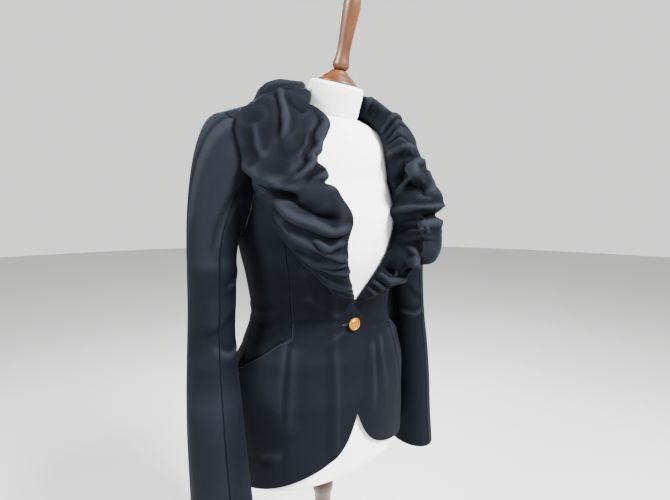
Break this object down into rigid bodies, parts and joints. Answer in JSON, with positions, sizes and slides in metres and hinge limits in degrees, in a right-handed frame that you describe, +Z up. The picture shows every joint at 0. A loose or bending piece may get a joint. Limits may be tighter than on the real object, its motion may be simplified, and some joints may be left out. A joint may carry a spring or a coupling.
{
  "type": "ruched shawl-collar cutaway jacket on limbless dress form",
  "caption": "Fitted single-button cutaway jacket with a gathered shawl collar and long two-piece sleeves, worn by a limbless dress form on a turned wooden stand.",
  "frame": {"origin": "centre of the stand base's underside", "axes": "+Z up the stand; -Y is the way the garment faces; +X is the wearer's left"},
  "size_m": [0.5268, 0.3431, 1.5639],
  "materials": {
    "cloth": "fine twill with a soft satin sheen",
    "jersey": "matt cotton jersey",
    "beech": "polished, orange-brown",
    "stained_wood": "dark stained, satin",
    "gold": "polished gold plate"
  },
  "bodies": {
    "root": {"front_right": "cloth", "side_front_right": "cloth", "back_right": "cloth", "top_sleeve_right": "cloth", "under_sleeve_right": "cloth", "collar_right": "cloth", "front_left": "cloth", "side_front_left": "cloth", "back_left": "cloth", "top_sleeve_left": "cloth", "under_sleeve_left": "cloth", "collar_left": "cloth", "form_torso": "jersey", "neck_cap": "beech", "finial": "beech", "stand_pole": "stained_wood", "stand_base": "stained_wood", "button": "gold"}
  },
  "joints": []
}
